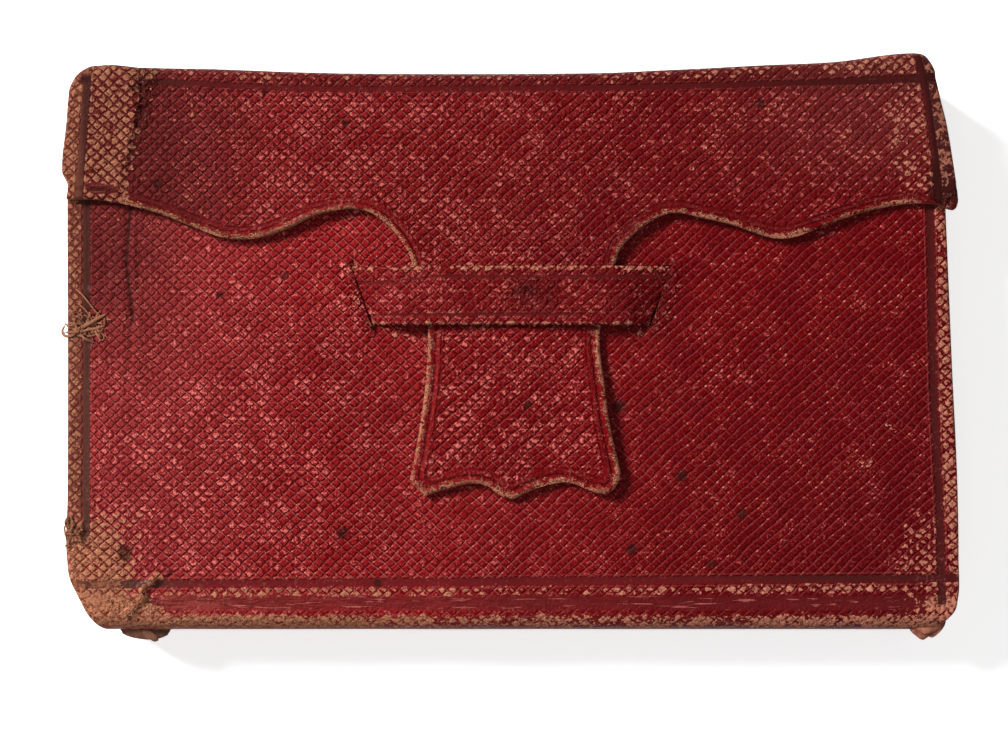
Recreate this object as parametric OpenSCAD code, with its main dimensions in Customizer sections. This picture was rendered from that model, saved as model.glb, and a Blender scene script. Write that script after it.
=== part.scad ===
// Pocket book bound wallet-style in red grained leather. The back cover runs on round the
// fore-edge as a strip and then as a flap over the front cover. The flap's tongue passes
// under a strap whose ends go through two slits in the front cover.
// X runs along the spine, the fore-edge is at +Y, and the back cover lies at z = 0.

/* [Covers] */
// Length of the covers along the spine
cover_length = 120.6; // [100:0.2:160]
// Width of the closed book, from the spine to the outside of the fore-edge strip
book_width = 76.1; // [70:0.1:110]
// How much the covers' right edge leans in from the spine to the fore-edge
lean = 1.6; // [0:0.1:4]
// Thickness of the leather
leather_t = 0.6; // [0.4:0.05:0.8]
// Thickness of each board
board_t = 1.2; // [1:0.1:2.5]
// Thickness of the turned-in leather, and of each pastedown between it
turn_in_t = 0.3; // [0.15:0.05:0.5]
// Width of the leather turned in over each board
turn_in_w = 4; // [2:0.5:8]
// Outer radius where each cover rounds into the spine
spine_r = 3; // [2:0.1:4]
// Distance from the back of the spine to each board's back edge
joint_w = 4; // [3.5:0.1:6]
// How far the left end of the spine is worn away, along the spine
worn_left = 4.8; // [0.5:0.1:7]
// How far the right end of the spine is worn away, along the spine
worn_right = 3; // [0.5:0.1:7]

/* [Pages] */
// Thickness of the pages
pages_t = 7.4; // [5:0.1:20]
// Width of the covers' margin past the pages
square_w = 1.6; // [0.8:0.1:3]
// Thickness of the lining glued down the spine
liner_t = 0.4; // [0.2:0.05:0.6]
// Number of sewing cords
cord_count = 3; // [2:1:5]
// Diameter of a sewing cord
cord_d = 0.9; // [0.5:0.1:1.2]

/* [Strip and flap] */
// Thickness of the strip, the flap and the tongue, with their lining
flap_t = 1; // [0.8:0.05:1.3]
// Thickness of that lining
lining_t = 0.35; // [0.2:0.05:0.4]
// Width of the leather left bare beside the lining
lining_margin = 2; // [1:0.25:4]
// Gap beside each fold
fold_gap = 0.15; // [0.1:0.05:0.4]
// Gap between the flap and the front cover
flap_gap = 0.25; // [0.15:0.05:0.6]
// How far the flap's ends reach over the cover from the fold
flap_reach = 17.3; // [14:0.1:20]
// How far the flap's waves dip below its ends
wave_depth = 5.4; // [2:0.1:6]
// How much longer the flap is at its lower right corner than at the fold
flap_flare = 4.4; // [0:0.1:6]

/* [Tongue and strap] */
// Distance of the tongue's middle from the middle of the covers
tongue_x = 0.4; // [-2:0.1:2]
// Width of the tongue where it leaves the flap
neck_w = 27.6; // [20:0.2:32]
// Width of the tongue at its waist
waist_w = 23.4; // [16:0.2:26]
// Width of the tongue near its tip
tip_w = 28.2; // [20:0.2:34]
// Length of the tongue
tongue_len = 32; // [26:0.5:40]
// Depth of the scallops at the tongue's tip
scallop = 2.2; // [0.5:0.1:3.5]
// Distance from the upper fold to the strap
strap_from_fold = 26.2; // [25.4:0.1:32]
// Width of the strap
strap_w = 7.9; // [5:0.1:10]
// Thickness of the strap
strap_t = 0.8; // [0.5:0.05:1]
// Gap between the tongue and the strap over it
strap_gap = 0.15; // [0.1:0.05:0.4]
// Length of the strap between the slits along its upper edge
strap_upper = 43.2; // [36:0.2:50]
// Length of the strap between the slits along its lower edge
strap_lower = 36.9; // [34:0.2:44]
// Length of each end of the strap, glued under the leather
tab_len = 5; // [3:0.5:8]
// Width of each slit
slit_w = 1.4; // [1.2:0.1:2]

/* [Hidden] */
$fn = 48;

over = 1;                // how far a cutting shape runs past what it cuts
tuck = 0.1;              // clearance round the strap's ends
cord_gap = 0.05;         // clearance round a sewing cord
cord_end = 0.4;          // leather and lining left over each end of a cord
shoulder_gap = 0.3;      // gap between the pages' shoulders and the boards
curve_steps = 6;         // straight steps between two points of a curve
fold_flare = 0.65;       // share of the flap's flare by which its fold is shorter than the cover
neck_above = 0.5;        // distance of the tongue's neck above the strap
rise_gap = 0.6;          // distance from the tongue's neck to where the strap turns down
waist_gap = 0.9;         // the same beside the tongue's waist
sag = 0.25;              // how far the strap's slopes are bowed upward
corner_x = 0.9;          // share of an inset taken along the spine at a worn corner
corner_y = 0.5;          // share of an inset taken along the end at a worn corner

pocket_h = leather_t + board_t + turn_in_t;
cover_h = 2 * pocket_h + pages_t;
left_x = -cover_length / 2;
right_x = cover_length / 2;
spine_y = -book_width / 2;
fold_y = book_width / 2 - flap_t / 2;
low_fold_z = flap_t / 2;
flap_z = cover_h + flap_gap;
high_fold_z = flap_z + flap_t / 2;
strip_top_z = flap_z - fold_gap;
cover_fore_y = fold_y - flap_t / 2 - fold_gap;
board_y = spine_y + joint_w;
strap_y = fold_y - strap_from_fold;
strap_z = flap_z + flap_t + strap_gap;
neck_y = strap_y + neck_above;
slit_in = 0.7 * slit_w;
slit_out = slit_w - slit_in;
strap_in = 0.6 * slit_w;
strap_down = 0.2 * slit_w;

// The covers' right edge at a given y
function cover_right(y) = right_x - lean * (y - spine_y) / book_width;
// The flap's and the strip's right edge at the upper fold
fold_right_x = cover_right(fold_y) - flap_flare * fold_flare;
flap_right_x = fold_right_x + flap_flare;

// Points on a smooth curve through the given ones
function curve_point(a, b, c, d, t) =
    0.5 * (2 * b + (c - a) * t + (2 * a - 5 * b + 4 * c - d) * t * t
           + (3 * b - a - 3 * c + d) * t * t * t);
function curve(p) = [
    for (i = [0 : len(p) - 2], k = [0 : curve_steps - 1])
        curve_point(p[max(i - 1, 0)], p[i], p[i + 1], p[min(i + 2, len(p) - 1)],
                    k / curve_steps),
    p[len(p) - 1]
];
function reversed(p) = [for (i = [len(p) - 1 : -1 : 0]) p[i]];

// The flap's wavy edge from an end to the neck: the share of the way, and how far it has
// dipped as a share of the wave's depth. It rises again before it turns down into the neck.
wave = [[0, 0.1], [0.12, 0.08], [0.29, 0.42], [0.4, 0.82], [0.515, 1], [0.64, 0.76],
        [0.76, 0.39], [0.827, 0.3], [0.9, 0.5], [0.955, 0.92]];
function wave_edge(end_x, root_x) = concat(
    [for (w = wave) [end_x + (root_x - end_x) * w[0],
                     fold_y - flap_reach - wave_depth * w[1]]],
    [[root_x, neck_y]]);

// One side of the tongue, as width from its middle and distance from the neck
tongue_side = [
    [neck_w / 2, 0],
    [(neck_w + waist_w) / 4, 0.14 * tongue_len],
    [waist_w / 2 + 0.1, 0.27 * tongue_len],
    [waist_w / 2, 0.38 * tongue_len],
    [waist_w / 2 + 0.3, 0.48 * tongue_len],
    [(waist_w + tip_w) / 4, 0.66 * tongue_len],
    [tip_w / 2 - 0.3, 0.84 * tongue_len],
    [tip_w / 2, tongue_len - 1.25 * scallop],
    [0.47 * tip_w, tongue_len - 0.6 * scallop],
    [0.4 * tip_w, tongue_len - 0.3 * scallop],
    [0.31 * tip_w, tongue_len - 0.7 * scallop],
    [0.22 * tip_w, tongue_len - scallop],
    [0.12 * tip_w, tongue_len - 0.6 * scallop],
    [0.04 * tip_w, tongue_len - 0.1 * scallop],
    [0, tongue_len]
];

// Shape of a worn corner: the share of the wear along the spine, and then along the end
worn_shape = [[0, 1.8], [0.15, 1.3], [0.42, 0.78], [0.67, 0.32], [1, 0]];
// A worn corner at the spine, drawn in by inset; side is 1 on the right and -1 on the left
function worn_corner(side, wear, inset) = [
    for (w = worn_shape)
        [side * (cover_length / 2 - wear * w[0] - corner_x * inset),
         spine_y + wear * w[1] + corner_y * inset]
];

// Flat outline of a cover, drawn in from its edges by inset, between two values of y
module plan(inset, y0, y1) {
    intersection() {
        polygon([[left_x + inset, y0], [cover_right(y0) - inset, y0],
                 [cover_right(y1) - inset, y1], [left_x + inset, y1]]);
        polygon(concat(
            worn_corner(-1, worn_left, inset),
            reversed(worn_corner(1, worn_right, inset)),
            [[cover_length, book_width], [-cover_length, book_width]]));
    }
}

// Section of the book seen along the spine, rounded at the spine and drawn in by inset
module section(inset, y1) {
    r = spine_r - inset;
    y0 = spine_y + inset;
    z0 = inset;
    z1 = cover_h - inset;
    translate([y0 + r, z0]) square([y1 - y0 - r, z1 - z0]);
    translate([y0, z0 + r]) square([r + tuck, z1 - z0 - 2 * r]);
    for (z = [z0 + r, z1 - r]) translate([y0 + r, z]) circle(r);
}

// A section drawn in Y and Z, running a little past both ends of the covers in X
module along_x() {
    length = cover_length + 2 * over;
    translate([-length / 2, 0, 0]) rotate([90, 0, 90]) linear_extrude(length) children();
}

// A flat outline raised between two heights
module slab(z0, z1) {
    translate([0, 0, z0]) linear_extrude(z1 - z0) children();
}

// The same shape for the back cover and, turned over, for the front cover
module both_covers() {
    children();
    translate([0, 0, cover_h]) mirror([0, 0, 1]) children();
}

// The slits' outline, made longer outward by reach
module slit_outline(reach) {
    for (s = [-1, 1])
        polygon([[s * (strap_upper / 2 - slit_in), strap_y + tuck],
                 [s * (strap_upper / 2 + slit_out + reach), strap_y + tuck],
                 [s * (strap_lower / 2 + slit_out + reach), strap_y - strap_w - tuck],
                 [s * (strap_lower / 2 - slit_in), strap_y - strap_w - tuck]]);
}

module slits() {
    slab(cover_h - leather_t - tuck, cover_h + over) slit_outline(0);
}

module cover_leather() {
    pastedown_inset = leather_t + turn_in_w;
    color([0.5, 0.12, 0.13]) difference() {
        intersection() {
            along_x() section(0, cover_fore_y);
            slab(0, cover_h) plan(0, spine_y, cover_fore_y);
        }
        intersection() {
            along_x() section(leather_t, cover_fore_y + over);
            union() {
                translate([-cover_length, spine_y, pocket_h])
                    cube([2 * cover_length, book_width, pages_t]);
                both_covers() {
                    slab(leather_t, leather_t + board_t)
                        plan(leather_t, spine_y, cover_fore_y - leather_t);
                    slab(leather_t, pocket_h + tuck)
                        plan(pastedown_inset, spine_y, cover_fore_y - pastedown_inset);
                    slab(leather_t, pocket_h + tuck) plan(leather_t, spine_y, board_y);
                }
            }
        }
        slits();
    }
}

module board() {
    slab(leather_t, leather_t + board_t)
        plan(leather_t, board_y, cover_fore_y - leather_t);
}

module front_board() {
    color([0.62, 0.55, 0.45]) difference() {
        translate([0, 0, cover_h]) mirror([0, 0, 1]) board();
        slab(cover_h - leather_t - strap_t - tuck, cover_h) slit_outline(tab_len);
    }
}

module back_board() {
    color([0.62, 0.55, 0.45]) board();
}

module pastedown() {
    inset = leather_t + turn_in_w;
    slab(pocket_h - turn_in_t, pocket_h) plan(inset, board_y, cover_fore_y - inset);
}

module front_pastedown() {
    color([0.85, 0.78, 0.62]) translate([0, 0, cover_h]) mirror([0, 0, 1]) pastedown();
}

module back_pastedown() {
    color([0.85, 0.78, 0.62]) pastedown();
}

module spine_liner() {
    color([0.72, 0.62, 0.45]) intersection() {
        along_x() difference() {
            section(leather_t, cover_fore_y);
            section(leather_t + liner_t, cover_fore_y + over);
        }
        slab(0, cover_h) plan(square_w, spine_y, board_y - shoulder_gap);
    }
}

function cord_x(i) = cover_length * ((i + 1) / (cord_count + 1) - 0.5);
cord_y = spine_y + leather_t + liner_t + 1.2 * cord_d;

module cords(d, end_gap) {
    for (i = [0 : cord_count - 1])
        translate([cord_x(i), cord_y, leather_t + end_gap])
            cylinder(d = d, h = cover_h - 2 * (leather_t + end_gap));
}

module sewing_cords() {
    color([0.8, 0.72, 0.55]) cords(cord_d, liner_t + cord_end);
}

module text_block() {
    color([0.88, 0.82, 0.68]) difference() {
        intersection() {
            along_x() {
                intersection() {
                    section(leather_t + liner_t, cover_fore_y);
                    translate([spine_y, 0]) square([joint_w - shoulder_gap, cover_h]);
                }
                translate([board_y - shoulder_gap - tuck, pocket_h])
                    square([cover_fore_y - board_y + shoulder_gap + tuck, pages_t]);
            }
            slab(0, cover_h)
                plan(square_w, spine_y, cover_fore_y - leather_t - square_w);
        }
        cords(cord_d + 2 * cord_gap, liner_t + cord_end - cord_gap);
    }
}

// Stations along one half of the strap, from its middle to the end of its tab: x along the
// upper edge, x along the lower edge, and the height of the underside
rise_upper = tongue_x + neck_w / 2 + rise_gap;
rise_lower = tongue_x + waist_w / 2 + waist_gap;
tab_z = cover_h - leather_t - strap_t;
strap_half = [
    [rise_upper, rise_lower, strap_z],
    [(rise_upper + strap_upper / 2) / 2, (rise_lower + strap_lower / 2) / 2,
     (strap_z + cover_h) / 2 + sag],
    [strap_upper / 2 - strap_in, strap_lower / 2 - strap_in, cover_h + tuck / 2],
    [strap_upper / 2 + strap_down, strap_lower / 2 + strap_down, tab_z],
    [strap_upper / 2 + strap_down + tab_len, strap_lower / 2 + strap_down + tab_len, tab_z]
];

module strap() {
    stations = concat([for (s = reversed(strap_half)) [-s[0], -s[1], s[2]]], strap_half);
    n = len(stations);
    color([0.45, 0.1, 0.1]) polyhedron(
        points = [for (s = stations)
                      each [[s[0], strap_y, s[2]], [s[0], strap_y, s[2] + strap_t],
                            [s[1], strap_y - strap_w, s[2] + strap_t],
                            [s[1], strap_y - strap_w, s[2]]]],
        faces = concat(
            [[3, 2, 1, 0]],
            [for (i = [0 : n - 2], k = [0 : 3])
                 let (a = 4 * i + k, b = 4 * i + (k + 1) % 4)
                     [a, b, b + 4, a + 4]],
            [[4 * n - 4, 4 * n - 3, 4 * n - 2, 4 * n - 1]]));
}

module strip_outline() {
    polygon([[left_x, 0], [cover_right(cover_fore_y), 0], [fold_right_x, strip_top_z],
             [left_x, strip_top_z]]);
}

module strip_lining_outline() {
    polygon([[left_x + lining_margin, low_fold_z + lining_margin / 2],
             [fold_right_x - lining_margin, low_fold_z + lining_margin / 2],
             [fold_right_x - lining_margin, strip_top_z - lining_margin / 2],
             [left_x + lining_margin, strip_top_z - lining_margin / 2]]);
}

// An outline drawn in X and Z, given thickness in Y from y0
module upright(y0, thick) {
    translate([0, y0 + thick, 0]) rotate([90, 0, 0]) linear_extrude(thick) children();
}

module fore_edge_strip() {
    color([0.48, 0.12, 0.13]) difference() {
        intersection() {
            union() {
                along_x() translate([fold_y, low_fold_z]) circle(flap_t / 2);
                translate([-cover_length, fold_y - flap_t / 2, low_fold_z])
                    cube([2 * cover_length, flap_t, strip_top_z - low_fold_z]);
            }
            upright(fold_y - flap_t, 2 * flap_t) strip_outline();
        }
        upright(fold_y - flap_t, flap_t / 2 + lining_t) strip_lining_outline();
    }
}

module fore_edge_lining() {
    color([0.62, 0.3, 0.24])
        upright(fold_y - flap_t / 2, lining_t) strip_lining_outline();
}

module flap_outline() {
    polygon(concat(
        [[fold_right_x, fold_y], [left_x + 0.1, fold_y]],
        curve(wave_edge(left_x + 0.4, tongue_x - neck_w / 2)),
        reversed(curve(wave_edge(flap_right_x, tongue_x + neck_w / 2)))));
}

module flap_lining_outline() {
    intersection() {
        flap_outline();
        polygon([[left_x + lining_margin, neck_y - over],
                 [flap_right_x - lining_margin, neck_y - over],
                 [fold_right_x - lining_margin, fold_y - lining_margin],
                 [left_x + lining_margin, fold_y - lining_margin]]);
    }
}

module flap() {
    color([0.48, 0.12, 0.13]) difference() {
        union() {
            slab(flap_z, flap_z + flap_t) flap_outline();
            intersection() {
                along_x() translate([fold_y, high_fold_z]) circle(flap_t / 2);
                translate([left_x, fold_y - over, 0])
                    cube([fold_right_x - left_x, 2 * over + flap_t, 2 * cover_h]);
            }
        }
        slab(flap_z - over, flap_z + lining_t) flap_lining_outline();
    }
}

module flap_lining() {
    color([0.62, 0.3, 0.24]) slab(flap_z, flap_z + lining_t) flap_lining_outline();
}

module tongue_outline() {
    side = curve(tongue_side);
    polygon(concat(
        [for (p = side) [tongue_x + p[0], neck_y - p[1]]],
        [for (p = reversed(side)) [tongue_x - p[0], neck_y - p[1]]]));
}

module tongue() {
    color([0.5, 0.12, 0.13]) slab(flap_z + lining_t, flap_z + flap_t) tongue_outline();
}

module tongue_lining() {
    color([0.62, 0.3, 0.24]) slab(flap_z, flap_z + lining_t) tongue_outline();
}

cover_leather();
front_board();
back_board();
front_pastedown();
back_pastedown();
spine_liner();
text_block();
sewing_cords();
strap();
fore_edge_strip();
fore_edge_lining();
flap();
flap_lining();
tongue();
tongue_lining();
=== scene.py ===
import math

import bpy
import numpy as np
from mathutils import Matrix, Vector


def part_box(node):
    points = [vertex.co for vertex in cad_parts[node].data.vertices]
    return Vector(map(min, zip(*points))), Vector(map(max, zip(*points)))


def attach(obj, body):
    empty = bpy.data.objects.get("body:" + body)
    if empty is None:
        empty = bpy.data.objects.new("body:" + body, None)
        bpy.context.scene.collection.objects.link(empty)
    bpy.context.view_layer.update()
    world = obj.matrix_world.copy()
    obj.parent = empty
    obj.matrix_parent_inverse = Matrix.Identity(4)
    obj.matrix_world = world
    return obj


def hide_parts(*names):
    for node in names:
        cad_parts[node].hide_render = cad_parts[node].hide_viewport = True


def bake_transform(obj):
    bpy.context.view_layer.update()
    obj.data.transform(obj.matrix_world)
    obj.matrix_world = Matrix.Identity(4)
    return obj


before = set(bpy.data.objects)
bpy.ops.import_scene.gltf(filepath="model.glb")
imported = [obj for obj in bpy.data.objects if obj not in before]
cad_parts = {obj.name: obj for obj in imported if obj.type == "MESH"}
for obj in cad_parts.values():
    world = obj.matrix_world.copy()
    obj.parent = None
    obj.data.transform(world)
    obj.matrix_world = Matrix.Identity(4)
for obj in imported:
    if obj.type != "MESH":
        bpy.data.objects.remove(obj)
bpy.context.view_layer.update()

# Sizes in millimetres. Those of the construction come from the frame.
MM = 0.001


def reach(node, side, axis):
    """How far a node reaches along an axis: side 0 is its low end and side 1 its high end."""
    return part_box(node)[side][axis] / MM


TOP = reach("cover_leather", 1, 2)
SPINE_Y = reach("cover_leather", 0, 1)
FORE_Y = reach("cover_leather", 1, 1)
STRIP_Y = reach("fore_edge_strip", 1, 1)
FLAP_TOP = reach("flap", 1, 2)
FLAP_T = FLAP_TOP - reach("flap_lining", 0, 2)
STRAP_TOP = reach("strap", 1, 2)
STRAP_T = 0.8

# Radii of the spine's bends and of the turned edges, and how deep these reach and turn in
SPINE_R = 3.0
EDGE_R = 0.6
UNDER_R = 0.3
BOARD_DEPTH = 2.07
SPINE_DEPTH = 0.8
TURN_IN = 2.4
SKIN_T = 0.25
# Half the widths of the cover's and the flap's grids, and how far in their ends are fitted
HALF = 60.0
FLAP_HALF = 59.0
COVER_EASE = 18
FLAP_EASE = 14
# Rows of a turned edge, the size of the flat pattern, and a distance where no line shows
RINGS = 10
UV_SIZE = 100.0
FAR = 9.0

# Edges of the front cover as (y, x), from the spine to the fore-edge
LEFT_EDGE = [(-38.1, -55.5), (-37.3, -56.4), (-36.5, -57), (-34.8, -57.9), (-33.2, -58.7),
             (-31.1, -59.7), (-28, -60.15), (-20, -60.05), (0, -60), (23, -60.05), (29, -60),
             (32.5, -59.6), (34.6, -58.8), (36, -57.6), (36.9, -55.8)]
RIGHT_EDGE = [(-38.1, 57.5), (-37.5, 58.3), (-36.5, 59.3), (-35.4, 60.1), (-33.8, 60.5),
              (-28, 60.6), (-20, 60.5), (-12, 60.2), (-4, 59.8), (8, 59.3), (17.5, 58.9),
              (28, 58.4), (31.5, 57.8), (34, 56.6), (35.8, 55.2), (36.9, 53.4)]
# The cover's ruled lines: its left one as x, its right one as (y, x), its low one as (x, y)
LEFT_RULE = -57.4
RIGHT_RULE = [(-38, 58.4), (-33.8, 58.3), (-18.9, 57.8), (-6.8, 57.2), (14.9, 56.7), (37, 56.2)]
LOW_RULE = [(-60, -31.7), (-1.5, -31.3), (60, -30.8)]
RULE_W = 1.1
# The slits: half their spacing at mid-height, slant, height, half length and gap
SLIT_X = 20.05
SLIT_SLANT = 0.35
SLIT_MID_Y = 7.3
SLIT_HALF = 4.2
SLIT_GAP = 0.5

# Ends of the flap as (y, x), then its fold and its wavy edge as (x, y)
FLAP_LEFT = [(11, -59.9), (20.4, -59.9), (22.6, -59.85), (23.6, -60.4), (25.7, -60.5),
             (28.4, -60.2), (31.1, -59.9), (33.8, -59.7), (35.1, -59.5), (36.7, -59.1),
             (37.8, -58.5), (38.6, -57.6), (41, -57.2)]
FLAP_RIGHT = [(11, 60.3), (19.2, 60.2), (20.3, 60.2), (23, 59.9), (25.7, 59.5), (28.4, 59.1),
              (31.1, 58.6), (33.8, 57.9), (36, 57.4), (37.5, 57), (39, 56.6), (42, 55.8)]
FOLD_LINE = [(-61, 34), (-59, 35.6), (-58.5, 36.9), (-57.4, 38.1), (-55.5, 38.5), (-50, 38.2),
             (-40, 38), (-30, 37.6), (-20, 37.35), (6, 37.35), (15, 37.55), (20, 37.8),
             (27, 38.1), (34, 38.5), (44, 39), (51, 39.8), (55, 40.1), (57, 40.1),
             (57.8, 39.95), (58.4, 39.45), (58.75, 38.7), (59, 38), (61, 35)]
LEFT_WAVE = [(-60.5, 20.4), (-57.9, 20.3), (-53.9, 20.1), (-50.8, 19.4), (-46.7, 18.1),
             (-42.7, 16.5), (-38.6, 15.1), (-36.6, 14.9), (-34.6, 15), (-32.5, 15.5),
             (-30.5, 16.2), (-28.5, 17.1), (-26.5, 18.1), (-24.4, 18.6), (-21.7, 19),
             (-20.4, 18.9), (-19, 18.5), (-17.7, 17.7), (-16.3, 16.5), (-15, 15),
             (-14.3, 13.9), (-13.6, 12.6), (-13.2, 11.2)]
RIGHT_WAVE = [(14, 11.2), (14.3, 12.6), (14.7, 13.5), (15.4, 14.4), (16.3, 15.4),
              (17.4, 16.3), (18.8, 17.3), (20.1, 18), (21.5, 18.4), (22.8, 18.4),
              (25.5, 17.8), (29.6, 16.9), (33.6, 15.5), (35, 15.1), (37.7, 15.1), (41, 16.2),
              (45.1, 17.8), (49.1, 19), (53.2, 19.7), (56.6, 19.5), (58, 18.9), (58.5, 18.9),
              (58.8, 19.3), (59.1, 20.2), (60.5, 21)]
# The tongue's root between the two waves: its ends, and its height on the cover
NECK = (-13.2, 14)
NECK_Y = 11.2
# Sides of the tongue as (y, x), and its tip as (x, y)
TONGUE_LEFT = [(-18.2, -13.2), (-17.6, -13.6), (-16.9, -13.5), (-13.5, -12.8), (-9.45, -12.15),
               (-5.4, -11.6), (-1.35, -11.3), (2.7, -11.2), (5.5, -11.45), (8.5, -12.2),
               (11.2, -13.2)]
TONGUE_RIGHT = [(-19, 13.6), (-18, 14.3), (-16.9, 14.7), (-16.2, 14.7), (-14.9, 14.4),
                (-11.5, 13.6), (-9.5, 13.2), (-4.7, 12.6), (0, 12), (4, 12.1), (8, 12.9),
                (11.2, 14)]
TONGUE_TIP = [(-13.2, -18.2), (-12.3, -18.9), (-11.7, -19.6), (-10.9, -19.4), (-9.6, -19),
              (-8.2, -18.6), (-6.9, -18.2), (-5.5, -18), (-4.2, -18.1), (-2.8, -18.6),
              (-1.8, -19.4), (-0.8, -19.9), (0.1, -20.1), (1.2, -19.7), (2.6, -19),
              (3.9, -18.4), (5.3, -18), (6.6, -17.8), (8, -18), (9.3, -18.5), (10.7, -19),
              (12, -19.3), (13.1, -19.2), (13.6, -19)]


def smooth(share):
    """An even start and stop between 0 and 1."""
    share = np.clip(share, 0, 1)
    return share * share * (3 - 2 * share)


def through(points, at):
    """Heights at the places at on a smooth line through points, whose first values rise."""
    px, py = np.array(points, float).T
    slope = np.gradient(py, px)
    k = np.clip(np.searchsorted(px, at) - 1, 0, len(px) - 2)
    step = px[k + 1] - px[k]
    s = np.clip((at - px[k]) / step, 0, 1)
    ends = py[k] * (1 + 2 * s) * (1 - s) ** 2 + py[k + 1] * s * s * (3 - 2 * s)
    return ends + step * s * (1 - s) * (slope[k] * (1 - s) - slope[k + 1] * s)


def ripple(x, y, size, seed, waves=8):
    """A gentle unevenness, mostly between -1 and 1, whose bumps are about size across."""
    draw = np.random.default_rng(seed)
    total = np.zeros_like(x)
    for _ in range(waves):
        turn, phase = draw.uniform(0, 2 * math.pi, 2)
        pull = 2 * math.pi / (size * draw.uniform(0.8, 1.8))
        total += np.sin((x * math.cos(turn) + y * math.sin(turn)) * pull + phase)
    return total / math.sqrt(waves)


def gap_to(points, x, y):
    """Distance of each place from the line through the points."""
    nearest = np.full(x.shape, 1e6)
    for (ax, ay), (bx, by) in zip(points, points[1:]):
        dx, dy = bx - ax, by - ay
        s = np.clip(((x - ax) * dx + (y - ay) * dy) / (dx * dx + dy * dy), 0, 1)
        nearest = np.minimum(nearest, np.hypot(x - ax - s * dx, y - ay - s * dy))
    return nearest


def hump(value, middle, width, power=2):
    """1 where a value is middle, fading to 0 within about a width of it."""
    return np.exp(-((value - middle) / width) ** power)


def crease(x, y, points, width):
    """1 on a line through the points, fading to 0 within about its width."""
    return hump(gap_to(points, x, y), 0, width)


def creases(x, y, lines):
    """The sum of creases given as their height, width and points."""
    return sum(height * crease(x, y, points, width) for height, width, points in lines)


def shifted(points, across, up):
    """Points moved sideways and up."""
    return [(x + across, y + up) for x, y in points]


def turned(points):
    """Points with their two values the other way round."""
    return [(b, a) for a, b in points]


def patch(x, y, middle, size):
    """1 in the middle of an oval patch, 0 at its edge and -1 from twice as far out."""
    far = np.hypot((x - middle[0]) / size[0], (y - middle[1]) / size[1])
    return np.maximum(1 - far, -1)


def worn_patches(x, y, patches):
    """Wear in oval patches, given as middle, size, strength and how sharp their edge is."""
    return np.maximum.reduce([strength * smooth(patch(x, y, middle, size) * sharp)
                              for middle, size, strength, sharp in patches])


def round_spots(x, y, spots):
    """Stains in round spots, given as middle and radius."""
    return np.maximum.reduce([patch(x, y, middle, (radius, radius)) for middle, radius in spots])


def fit(u, half, low_x, high_x, width):
    """Places from -half to half, moved near their ends so that these lie on two outlines."""
    x = u + (low_x + half) * smooth((width - half - u) / width)
    return x + (high_x - half) * smooth((u - half + width) / width)


def spaced(start, *runs):
    """Positions from start on, each run going to its end in steps of about its size."""
    spots = [start]
    for end, step in runs:
        count = max(1, round(abs(end - start) / step))
        spots.extend(np.linspace(start, end, count + 1)[1:])
        start = end
    return np.array(spots)


def sheet(name, across, along, shape):
    """A sheet with a column for each value of across and a row for each value of along.
    shape gives the places on its outer and inner side, its flat pattern and its marks, which
    may be single values."""
    bpy.ops.object.select_all(action="DESELECT")
    bpy.ops.mesh.primitive_grid_add(x_subdivisions=len(across) - 1,
                                    y_subdivisions=len(along) - 1, size=1)
    piece = bpy.context.object
    piece.name = name
    mesh = piece.data
    mesh.name = name
    v, u = (grid.ravel() for grid in np.meshgrid(along, across, indexing="ij"))
    places, inside, skin, marks = shape(u, v)
    mesh.vertices.foreach_set("co", (np.stack(places, 1) * MM).ravel())
    layer = mesh.attributes.new("inside", "FLOAT_VECTOR", "POINT")
    layer.data.foreach_set("vector", (np.stack(inside, 1) * MM).ravel())
    corners = np.empty(len(mesh.loops), np.int32)
    mesh.loops.foreach_get("vertex_index", corners)
    pattern = mesh.uv_layers[0]
    pattern.name = "skin"
    pattern.data.foreach_set("uv", (np.stack(skin, 1)[corners] / UV_SIZE).ravel())
    for mark, values in marks.items():
        layer = mesh.attributes.new(mark, "FLOAT", "POINT")
        layer.data.foreach_set("value", np.full(len(u), values, np.float32))
    mesh.update()
    return piece


def choose(*pieces):
    """Selects only these pieces and makes the first one active."""
    bpy.ops.object.select_all(action="DESELECT")
    for piece in pieces:
        piece.select_set(True)
    bpy.context.view_layer.objects.active = pieces[0]


def on_whole(piece, change, **settings):
    """Runs an edit mode tool on all of a piece."""
    choose(piece)
    bpy.ops.object.mode_set(mode="EDIT")
    bpy.ops.mesh.select_all(action="SELECT")
    change(**settings)
    bpy.ops.mesh.select_all(action="DESELECT")
    bpy.ops.object.mode_set(mode="OBJECT")


def merge(piece):
    """Joins vertices that lie on each other."""
    on_whole(piece, bpy.ops.mesh.remove_doubles, threshold=0.002 * MM)


def cut_away(piece, faces):
    """Deletes the named faces of a piece."""
    choose(piece)
    bpy.ops.object.mode_set(mode="EDIT")
    bpy.ops.mesh.select_mode(type="FACE")
    bpy.ops.mesh.select_all(action="DESELECT")
    bpy.ops.object.mode_set(mode="OBJECT")
    for k in faces:
        piece.data.polygons[k].select = True
    bpy.ops.object.mode_set(mode="EDIT")
    bpy.ops.mesh.delete(type="FACE")
    bpy.ops.object.mode_set(mode="OBJECT")


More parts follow.
